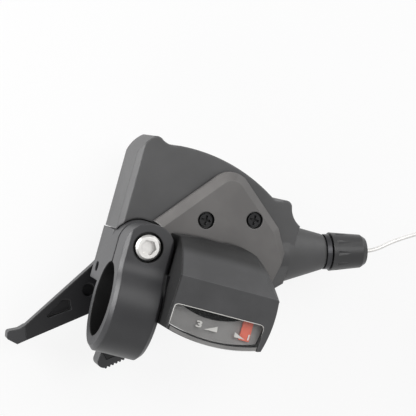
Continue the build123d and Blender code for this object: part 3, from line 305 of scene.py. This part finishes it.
world = bpy.data.worlds.new("studio")
world.use_nodes = True
bpy.context.scene.world = world
sky = world.node_tree.nodes["Background"]
sky.inputs["Color"].default_value = (1, 1, 1, 1)
sky_light = 0.30
sky_seen = 0.96
sky_level = maths(world.node_tree, "ADD", lamp_share(world.node_tree, sky_seen - sky_light), sky_light)
world.node_tree.links.new(sky_level, sky.inputs["Strength"])
print("table at", round(floor_z / MM, 2), "mm")

# %% [markdown]
# Four soft boxes do the lighting. One stands low on the lever side and lights the upright left walls.
# One stands behind and one hangs above, and they draw the thin bright lines along the rounded rims. The
# last is weak and fills the sides that face the rider.

# %% Lamps


def soft_box(name, place, aim, size, watts):
    """A square area lamp at a place in millimetres that looks at another."""
    lamp = bpy.data.lights.new(name, "AREA")
    lamp.shape = "SQUARE"
    lamp.size = size
    lamp.energy = watts
    box = linked(name, lamp)
    place = Vector(place) * MM
    way = Vector(aim) * MM - place
    box.matrix_world = way.to_track_quat("-Z", "Y").to_matrix().to_4x4()
    box.location = place


soft_box("side_box", (-420, 80, 20), (10, 15, -10), 0.30, 3.8)
soft_box("back_box", (330, 420, 120), (25, 30, 0), 0.30, 0.6)
soft_box("top_box", (120, 260, 520), (20, 25, 0), 0.35, 1.25)
soft_box("rider_box", (-60, -420, 320), (20, 5, 0), 0.30, 0.35)
print("lamps", [item.name for item in bpy.data.lights])

# %% [markdown]
# Moulded plastic and coated metal share one recipe. The colour drifts a little with slow noise,
# the roughness varies with a finer noise, and a very fine grain lifts the surface.
# A bevelled normal rounds each hard edge, and where it turns away from the true face the coat is lighter:
# partly worn, as on a handled part, and partly a painted highlight along the rims.

# %% Helpers: the nodes that every finish uses


def noise_over(tree, vector, scale, detail):
    """A noise's value over a vector."""
    node = make_node(tree, "TexNoise", [("Scale", scale), ("Detail", detail)])
    tree.links.new(vector, node.inputs["Vector"])
    return node.outputs["Fac"]


def ranged(tree, value, start, end, low_end, high_end, **settings):
    """A value carried from the range start to end over to another range."""
    node = make_node(tree, "MapRange", [
        ("From Min", start), ("From Max", end), ("To Min", low_end), ("To Max", high_end),
    ], **settings)
    tree.links.new(value, node.inputs["Value"])
    return node.outputs["Result"]


def painted_over(tree, below, colour, share):
    """A colour laid over the one below by a share from 0 to 1."""
    node = make_node(tree, "Mix", data_type="RGBA")
    node.inputs["B"].default_value = tuple(colour) + (1,)
    tree.links.new(below, node.inputs["A"])
    tree.links.new(share, node.inputs["Factor"])
    return node.outputs["Result"]


def ramp_between(tree, value, start, first, end, last):
    """A colour that goes from the first, where the value is start, to the last, where it is end."""
    node = make_node(tree, "ValToRGB")
    for element, position, colour in zip(node.color_ramp.elements, (start, end), (first, last)):
        element.position = position
        element.color = tuple(colour) + (1,)
    tree.links.new(value, node.inputs["Fac"])
    return node.outputs["Color"]


def rounded_normal(tree, edge_mm):
    """The normal with each hard edge rounded over a radius."""
    return make_node(tree, "Bevel", [("Radius", edge_mm * MM)], samples=6).outputs["Normal"]


def lifted(tree, height, depth_mm, normal):
    """The normal with a height's relief on it, so many millimetres deep."""
    node = make_node(tree, "Bump", [("Strength", 0.5), ("Distance", depth_mm * MM)])
    tree.links.new(height, node.inputs["Height"])
    tree.links.new(normal, node.inputs["Normal"])
    return node.outputs["Normal"]


# %% [markdown]
# Round holes and recesses stay unworn and are painted nearly black, as the shade inside them. A point is in
# one where its distance from the hole's axis is less than the hole's radius, and the axis runs along X, Y or
# Z.

# %% A helper: the inside of round holes, for their painted shade


def inside_shaded_holes(tree, place, shaded_holes):
    """A 0 or 1 value: 1 within a radius of one of the axes, each given as (axis, centre, radius) in mm."""
    inside = None
    for axis, centre, radius in shaded_holes:
        across = np.array([letter != axis for letter in "XYZ"], dtype=float)
        flat = make_node(tree, "VectorMath", [(1, across)], operation="MULTIPLY")
        tree.links.new(place, flat.inputs[0])
        reach = make_node(tree, "VectorMath", [(1, np.array(centre) * across * MM)], operation="DISTANCE")
        tree.links.new(flat.outputs["Vector"], reach.inputs[0])
        near = maths(tree, "LESS_THAN", reach.outputs["Value"], float(radius * MM))
        inside = near if inside is None else maths(tree, "MAXIMUM", inside, near)
    return inside


# %% [markdown]
# The coated finish lays its layers in this order: the drifting colour, the edges lightened as wear and
# painted highlight, the holes painted black as shade, the painted shade bands and last the painted shade in
# the crevices. An edge starts to lighten where its rounded normal and its true normal agree by less than
# 0.985, and a crevice starts to darken with painted shade below an openness of 0.86.

# %% The coated finish
drift_scale, drift_start, drift_end = 90, 0.35, 0.65
wear_highlight_start, wear_highlight_full = 0.985, 0.88
wear_highlight_gain, wear_highlight_lift = 3.2, 0.02
shade_black = (0.004, 0.004, 0.004)
dusk_shade_black = (0.005, 0.005, 0.005)
dusk_shade_share = 0.85
crevice_mm, crevice_shut, crevice_open = 1.1, 0.40, 0.86
gloss_spread = 0.06


def coated(name, colour, roughness, grain_mm=0.35, grain_depth=0.012, drift=0.12, edge_mm=0.35, wear_and_highlight=0.25,
           specular=0.5, shaded_holes=(), shade_bands=(), crevice_shade=0.75):
    """A procedural finish from object coordinates: drift, grain bump, rounded edges lightened as wear and
    painted highlight.

    Crevices are darkened with painted shade: the nearer the neighbouring faces, the darker. The shaded holes
    are round holes and recesses whose walls stay unworn and are painted nearly black as shade. Each shade
    band is an axis and the two places on it, in millimetres, between which a face passes into a painted dark
    matt shade.
    """
    material, tree, shader = new_material(name)
    shader.inputs["Specular IOR Level"].default_value = specular
    place = make_node(tree, "TexCoord").outputs["Object"]
    fine = noise_over(tree, place, 1000 / grain_mm, 2)
    dark, pale = [[min(1.0, channel * factor) for channel in colour] for factor in (1 - drift, 1 + drift)]
    slow = noise_over(tree, place, drift_scale, 3)
    painted = ramp_between(tree, slow, drift_start, dark, drift_end, pale)
    rounded = rounded_normal(tree, edge_mm)
    agreement = make_node(tree, "VectorMath", operation="DOT_PRODUCT")
    tree.links.new(rounded, agreement.inputs[0])
    tree.links.new(make_node(tree, "NewGeometry").outputs["Normal"], agreement.inputs[1])
    # Lighter rounded edges: partly edge wear, partly a painted highlight along rims and screw crosses.
    worn_and_highlight = ranged(tree, agreement.outputs["Value"], wear_highlight_start, wear_highlight_full, 0.0, wear_and_highlight)
    worn_highlight_colour = [min(1.0, wear_highlight_gain * channel + wear_highlight_lift) for channel in colour]
    painted = painted_over(tree, painted, worn_highlight_colour, worn_and_highlight)
    if shaded_holes:
        # Painted shade: the inside of round holes and recesses is painted nearly black.
        painted = painted_over(tree, painted, shade_black, inside_shaded_holes(tree, place, shaded_holes))
    # Painted shade: along an axis the face passes into a dark matt colour.
    for axis, start, end in shade_bands:
        split = make_node(tree, "SeparateXYZ")
        tree.links.new(place, split.inputs["Vector"])
        fade = ranged(tree, split.outputs[axis], start * MM, end * MM, 0.0, dusk_shade_share,
                      interpolation_type="SMOOTHSTEP")
        painted = painted_over(tree, painted, dusk_shade_black, fade)
    # Painted shade: crevices are darkened towards black by their ambient occlusion.
    if crevice_shade:
        crevice = make_node(tree, "AmbientOcclusion", [("Distance", crevice_mm * MM)], samples=8)
        crevice_shade_share = ranged(tree, crevice.outputs["AO"], crevice_shut, crevice_open, crevice_shade, 0.0)
        painted = painted_over(tree, painted, shade_black, crevice_shade_share)
    gloss = ranged(tree, fine, 0.0, 1.0, roughness - gloss_spread, roughness + gloss_spread)
    tree.links.new(painted, shader.inputs["Base Color"])
    tree.links.new(gloss, shader.inputs["Roughness"])
    tree.links.new(lifted(tree, fine, grain_depth, rounded), shader.inputs["Normal"])
    print("finish", name)
    return material


# %% [markdown]
# The holes whose shade is painted are found from the imported pieces: the bolt and the two cover screws
# stand in theirs, and the bore lies along the X axis through the origin.

# %% The places of the holes


def middle_of(node_name):
    """The middle of a node's box, in millimetres."""
    return (np.array(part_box(node_name)).sum(axis=0) / 2 / MM).round(3)


def screw_middles(node_name):
    """The middles of the separate screws in one node, in millimetres, found by grouping its vertices."""
    mesh = nodes[node_name].data
    spots = np.empty(len(mesh.vertices) * 3)
    mesh.vertices.foreach_get("co", spots)
    spots = spots.reshape(-1, 3) / MM
    longest = int(np.argmax(np.ptp(spots[:, :2], axis=0)))
    order = np.sort(spots[:, longest])
    widest = int(np.argmax(np.diff(order)))
    cut = (order[widest] + order[widest + 1]) / 2
    halves = [spots[spots[:, longest] <= cut], spots[spots[:, longest] > cut]]
    return [(half.min(axis=0) + half.max(axis=0)) / 2 for half in halves]


# The clamp's bore, the bolt's counterbore and the cover screws' recesses get painted shade.
screw_shade_radius, bolt_shade_radius, bore_radius = 2.56, 4.55, 11.25
cover_screw_shades = [("Z", spot, screw_shade_radius) for spot in screw_middles("cover_screws")]
bolt_hole_shade = ("Z", middle_of("clamp_bolt"), bolt_shade_radius)
bore_shade = ("X", (0, 0, 0), bore_radius)
print("cover screws at", [spot.round(1).tolist() for _, spot, _ in cover_screw_shades])

# %% [markdown]
# Each material slot of the part has its own finish. Smooth small pieces that nobody touches, such as
# the dial, the flag and the print, carry no worn or highlighted edges and no painted crevice shade.

# %% The coated finishes
# These pieces get no edge wear or painted highlight and no painted crevice shade.
no_wear_highlight_or_shade = {"grain_depth": 0.004, "wear_and_highlight": 0.0, "crevice_shade": 0}
# Painted shade on the pod: its front toe under the cover and its left wall beside the clamp.
pod_shade_bands = [("Y", 19.2, 21.8), ("X", 8.3, 7.7)]
finishes = {
    "housing_plastic": coated("textured_housing", (0.052, 0.052, 0.053), 0.5, 0.45, 0.02,
                              edge_mm=0.9, wear_and_highlight=0.4, specular=0.55),
    "cover_plastic": coated("satin_cover", (0.112, 0.107, 0.104), 0.42, 0.6, 0.01, edge_mm=0.4,
                            shaded_holes=cover_screw_shades),
    "pod_plastic": coated("satin_pod", (0.068, 0.068, 0.070), 0.45, 0.5, 0.01, edge_mm=0.5, specular=0.3,
                          shade_bands=pod_shade_bands),
    "clamp_alloy": coated("anodised_clamp", (0.030, 0.030, 0.032), 0.40, 0.3, 0.01, edge_mm=0.5,
                          specular=0.38, shaded_holes=[bolt_hole_shade, bore_shade]),
    "lever_metal": coated("satin_lever", (0.010, 0.010, 0.011), 0.36, 0.4, 0.01, edge_mm=0.5, specular=0.3),
    "pad_plastic": coated("satin_pad", (0.030, 0.030, 0.032), 0.42, 0.4, 0.015, edge_mm=0.5, specular=0.4),
    "knob_plastic": coated("satin_knob", (0.020, 0.020, 0.021), 0.36, 0.4, 0.015),
    # The screws' edges are lightened strongly, mostly as painted glints on their crosses.
    "screw_steel": coated("black_screw", (0.012, 0.012, 0.013), 0.5, 0.3, 0.01, edge_mm=0.15, wear_and_highlight=0.9,
                          specular=0.25),
    "tie_plastic": coated("black_tie", (0.02, 0.02, 0.02), 0.6, 0.3, 0.03, edge_mm=0.2),
    "spool_plastic": coated("moulded_spool", (0.05, 0.05, 0.055), 0.45, 0.5, 0.01, edge_mm=0.2),
    "dial_grey": coated("printed_dial", (0.34, 0.334, 0.328), 0.45, 0.5, edge_mm=0.1, **no_wear_highlight_or_shade),
    "flag_plastic": coated("salmon_flag", (0.96, 0.20, 0.13), 0.35, 0.5, edge_mm=0.1, **no_wear_highlight_or_shade),
    # The white print finish also colours the painted highlight along the lens's edge.
    "print_white": coated("white_print_and_highlight", (0.78, 0.77, 0.74), 0.45, 0.4, edge_mm=0.02, **no_wear_highlight_or_shade),
    # The lens rim finish is the pale grey of a painted highlight on the lens's front edge.
    "rim_grey": coated("lens_rim_highlight", (0.24, 0.235, 0.23), 0.40, 0.4, drift=0.2, edge_mm=0.05, **no_wear_highlight_or_shade),
    "well_black": coated("inner_black", (0.006, 0.006, 0.006), 0.7, 0.5, 0.01, edge_mm=0.1, wear_and_highlight=0.05,
                         specular=0.2),
    "washer_nylon": coated("natural_nylon", (0.62, 0.60, 0.54), 0.5, 0.5, 0.01, edge_mm=0.15, wear_and_highlight=0.0,
                           crevice_shade=0),
}

# %% [markdown]
# Bare metals are brushed or turned. A noise stretched along one direction gives the fine lines that a
# tool leaves, both in the roughness and as a shallow bump.

# %% The bare metal finish
metal_gloss_spread = 0.08
metal_shade = 0.86


def bare_metal(name, colour, roughness, stretch=(300, 300, 4000), depth=0.004, edge_mm=0.15, metallic=1.0):
    """A metal whose stretched noise in object coordinates draws tool lines across the stretch."""
    material, tree, shader = new_material(name)
    shader.inputs["Metallic"].default_value = metallic
    spread = make_node(tree, "Mapping", [("Scale", stretch)])
    tree.links.new(make_node(tree, "TexCoord").outputs["Object"], spread.inputs["Vector"])
    lines = noise_over(tree, spread.outputs["Vector"], 1.0, 3)
    tint = ramp_between(tree, lines, 0.3, [metal_shade * channel for channel in colour], 0.7, colour)
    gloss = ranged(tree, lines, 0.0, 1.0, roughness - metal_gloss_spread, roughness + metal_gloss_spread)
    tree.links.new(tint, shader.inputs["Base Color"])
    tree.links.new(gloss, shader.inputs["Roughness"])
    tree.links.new(lifted(tree, lines, depth, rounded_normal(tree, edge_mm)), shader.inputs["Normal"])
    print("finish", name)
    return material


finishes.update({
    "bolt_steel": bare_metal("stainless_bolt", (0.58, 0.57, 0.555), 0.38, (900, 900, 3000), 0.0008,
                             edge_mm=0.2),
    "plate_steel": bare_metal("zinc_plate", (0.55, 0.56, 0.57), 0.34, (2500, 300, 300)),
    "hardened_steel": bare_metal("hardened_plate", (0.38, 0.38, 0.39), 0.30),
    "spring_steel": bare_metal("spring_strip", (0.50, 0.50, 0.50), 0.25),
    "collar_alloy": bare_metal("turned_collar", (0.055, 0.055, 0.058), 0.36, (4000, 300, 300)),
    "insert_brass": bare_metal("turned_brass", (0.72, 0.52, 0.22), 0.30, (4000, 300, 300)),
    "head_alloy": bare_metal("cast_head", (0.55, 0.55, 0.56), 0.45),
    "cable_steel": bare_metal("stranded_cable", (0.88, 0.87, 0.85), 0.35, (2500, 2500, 2500), 0.02,
                              metallic=0.35),
})

# %% [markdown]
# The lens is clear and glossy. Its tint is thin, so that the dial shows through it nearly unchanged, and
# fine wipe marks make its gloss a little uneven.

# %% The lens
lens, lens_tree, lens_shader = new_material("clear_lens")
lens_shader.inputs["Base Color"].default_value = (0.25, 0.26, 0.26, 1)
lens_shader.inputs["Alpha"].default_value = 0.05
lens_smooth, lens_wiped = 0.04, 0.09
wipe_scale = 900
wipe_marks = noise_over(lens_tree, make_node(lens_tree, "TexCoord").outputs["Object"], wipe_scale, 3)
lens_gloss = ranged(lens_tree, wipe_marks, 0.0, 1.0, lens_smooth, lens_wiped)
lens_tree.links.new(lens_gloss, lens_shader.inputs["Roughness"])
finishes["lens_clear"] = lens
print("finishes", len(finishes))

# %% [markdown]
# The imported record says which material slot each piece has. The shelf under the dial is the one piece
# that leaves its slot: only its depth is seen, so it is painted the black of the inner parts as shade.

# %% Every finish onto its nodes
slot_of = {entry["node"]: entry["material_slot"] for entry in frame["record"]["subparts"]}
# Painted shade: the shelf under the dial is given the inner parts' black.
painted_shade_finish = {"display_base": "well_black"}
for node_name, node in nodes.items():
    node.data.materials.clear()
    node.data.materials.append(finishes[painted_shade_finish.get(node_name, slot_of[node_name])])
cable.data.materials.append(finishes["cable_steel"])
end_cap.data.materials.append(finishes["collar_alloy"])
print("dressed", len(nodes), "nodes")

# %% [markdown]
# A real lens is printed on its inner side, where fingers can't rub the print off. So each mark follows
# the lens's slope: its outer face rises evenly from a sill at the rider's edge to its back.

# %% The lens's slope
lens_wall = 1.3
lens_rise, lens_run = 2.8, 17.8
lens_low, lens_high = [np.array(corner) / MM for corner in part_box("display_lens")]
lens_slope = lens_rise / lens_run
lens_skin = lens_wall * math.hypot(1, lens_slope)
lens_sill = lens_high[2] - lens_slope * (lens_high[1] - lens_low[1])


def lens_height(y, below):
    """Height of the lens's outer face at y, less a distance below it: the sill plus slope times run."""
    return lens_sill + lens_slope * (np.asarray(y) - lens_low[1]) - below


print("lens in mm:", lens_low.round(2), "to", lens_high.round(2))

# %% [markdown]
# A wedge or a strip is a thin closed prism over its outline, so that it stays sharp from every side.
# Digits come from a font, because a font draws them better than a hand-made outline, and are made a mesh
# before they get their place.

# %% Helpers: the pieces of the print


def place_print(name, mesh, finish):
    """Make a mesh one piece of the print, in its finish."""
    mesh.materials.clear()
    mesh.materials.append(finishes[finish])
    piece = linked(name, mesh)
    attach(piece, "shifter_body")
    print(name, "faces", len(mesh.polygons))


def print_prism(name, outline, below, thickness, finish):
    """A closed prism over an outline in millimetres, its top parallel to the lens and so much below it."""
    outline = np.asarray(outline, dtype=float)
    count = len(outline)
    top = np.column_stack([outline, lens_height(outline[:, 1], below)])
    base = np.column_stack([outline, lens_height(outline[:, 1], below + thickness)])
    ring = np.arange(count)
    after = np.roll(ring, -1)
    sides = np.column_stack([ring, ring + count, after + count, after])
    faces = [ring.tolist(), (ring[::-1] + count).tolist()] + sides.tolist()
    mesh = bpy.data.meshes.new(name)
    mesh.from_pydata((np.vstack([top, base]) * MM).tolist(), [], faces)
    mesh.update()
    place_print(name, mesh, finish)


def print_digit(name, letter, middle, height, weight, widen):
    """A font's digit of a height in millimetres, widened, flat on the lens's inner side about its middle."""
    text = bpy.data.curves.new(name + "_text", "FONT")
    text.body = letter
    text.align_x = "CENTER"
    text.align_y = "CENTER"
    text.size = 1.0
    text.offset = weight
    text.extrude = 0.02
    written = linked(name + "_text", text)
    bpy.context.view_layer.update()
    mesh = bpy.data.meshes.new_from_object(written.evaluated_get(bpy.context.evaluated_depsgraph_get()))
    bpy.data.objects.remove(written)
    mesh.name = name
    spots = np.empty(len(mesh.vertices) * 3)
    mesh.vertices.foreach_get("co", spots)
    spots = spots.reshape(-1, 3)
    spots[:, :2] -= (spots[:, :2].min(axis=0) + spots[:, :2].max(axis=0)) / 2
    spots[:, :2] *= height / np.ptp(spots[:, 1])
    spots[:, 0] *= widen
    spots[:, :2] += middle
    spots[:, 2] = lens_height(spots[:, 1], lens_skin + digit_gap) + spots[:, 2]
    mesh.vertices.foreach_set("co", (spots * MM).ravel())
    place_print(name, mesh, "print_white")


# %% [markdown]
# Two digits name the first and the last gear. A wedge beside each digit grows with the gear.

# %% The digits and the wedges
digit_gap = 0.05
ink = {"below": lens_skin + 0.03, "thickness": 0.04, "finish": "print_white"}
print_digit("digit_three", "3", (17.3, 1.25), height=1.95, weight=0.03, widen=1.6)
print_digit("digit_one", "1", (32.35, 1.0), height=1.75, weight=0.02, widen=1.3)
print_prism("wedge_near_three", [(19.1, 0.13), (22.98, 0.18), (22.75, 1.8)], **ink)
print_prism("wedge_near_one", [(31.36, 0.13), (28.04, 1.57), (28.22, 0.11)], **ink)

# %% [markdown]
# A thin white line, painted along the lens's moulded edge, stands for the highlight that the edge catches.
# Its path runs up the left side, round a corner, along the back, round the other corner and down the right
# side. The painted highlight swells quickly at its start and thins slowly towards its end.

# %% The lens's painted edge highlight
edge_gap = 0.13
edge_radius = 0.11
edge_sides = 8
edge_start_y, edge_end_y = -1.6, 1.5
edge_swell, edge_thin = 14, 4.0
corner_radius = lens_wall - edge_gap
left_x, right_x, back_y = lens_low[0] + edge_gap, lens_high[0] - edge_gap, lens_high[1] - edge_gap
side_top_y = back_y - corner_radius - 0.2
back_start_x, back_end_x = left_x + corner_radius + 0.4, right_x - corner_radius - 0.4
corner_turn = np.linspace(0, math.pi / 2, 7)
corner_out = corner_radius * (1 - np.cos(corner_turn))
corner_in = corner_radius * (1 - np.sin(corner_turn))
edge_path = np.vstack([
    np.column_stack([np.full(12, left_x), np.linspace(edge_start_y, side_top_y, 12)]),
    np.column_stack([left_x + corner_out, back_y - corner_in]),
    np.column_stack([np.linspace(back_start_x, back_end_x, 40), np.full(40, back_y)]),
    np.column_stack([right_x - corner_in, back_y - corner_out]),
    np.column_stack([np.full(8, right_x), np.linspace(side_top_y, edge_end_y, 8)]),
])
edge_share = np.linspace(0, 1, len(edge_path))
edge_ends = np.clip(edge_swell * edge_share, 0.01, 1), np.clip(edge_thin * (1 - edge_share), 0.01, 1)
edge_radii = edge_radius * edge_ends[0] * edge_ends[1]
edge_line = np.column_stack([edge_path, lens_height(edge_path[:, 1], 0.04)])
# Painted highlight: a thin white tube along the lens's edge stands for the light it catches.
lens_edge_highlight = tube_object("lens_edge_painted_highlight", edge_line * MM, edge_radii * MM, edge_sides, "shifter_body")
lens_edge_highlight.data.materials.append(finishes["print_white"])

# %% [markdown]
# The light on the lens's turned-down front edge is painted as a pale strip inside the lens. It bows away
# from the rider with the square of the distance from the lens's middle.

# %% The painted highlight on the lens's front edge
strip_bow = 2.05
strip_width = 1.05
strip_x = np.linspace(lens_low[0] + 0.7, lens_high[0] - 0.3, 40)
strip_share = (strip_x - (lens_low[0] + lens_high[0]) / 2) / ((lens_high[0] - lens_low[0]) / 2)
strip_front = lens_low[1] + 0.12 + strip_bow * strip_share ** 2
strip_outline = np.vstack([
    np.column_stack([strip_x, strip_front]),
    np.column_stack([strip_x, strip_front + strip_width])[::-1],
])
# Painted highlight: a pale grey sheet inside the lens stands for the light on its front edge.
print_prism("lens_front_painted_highlight", strip_outline, below=0.3, thickness=0.1, finish="rim_grey")

# %% [markdown]
# The render keeps Blender's Standard view transform, so colours show without a film curve.

# %% Finish
bpy.context.scene.view_settings.view_transform = "Standard"
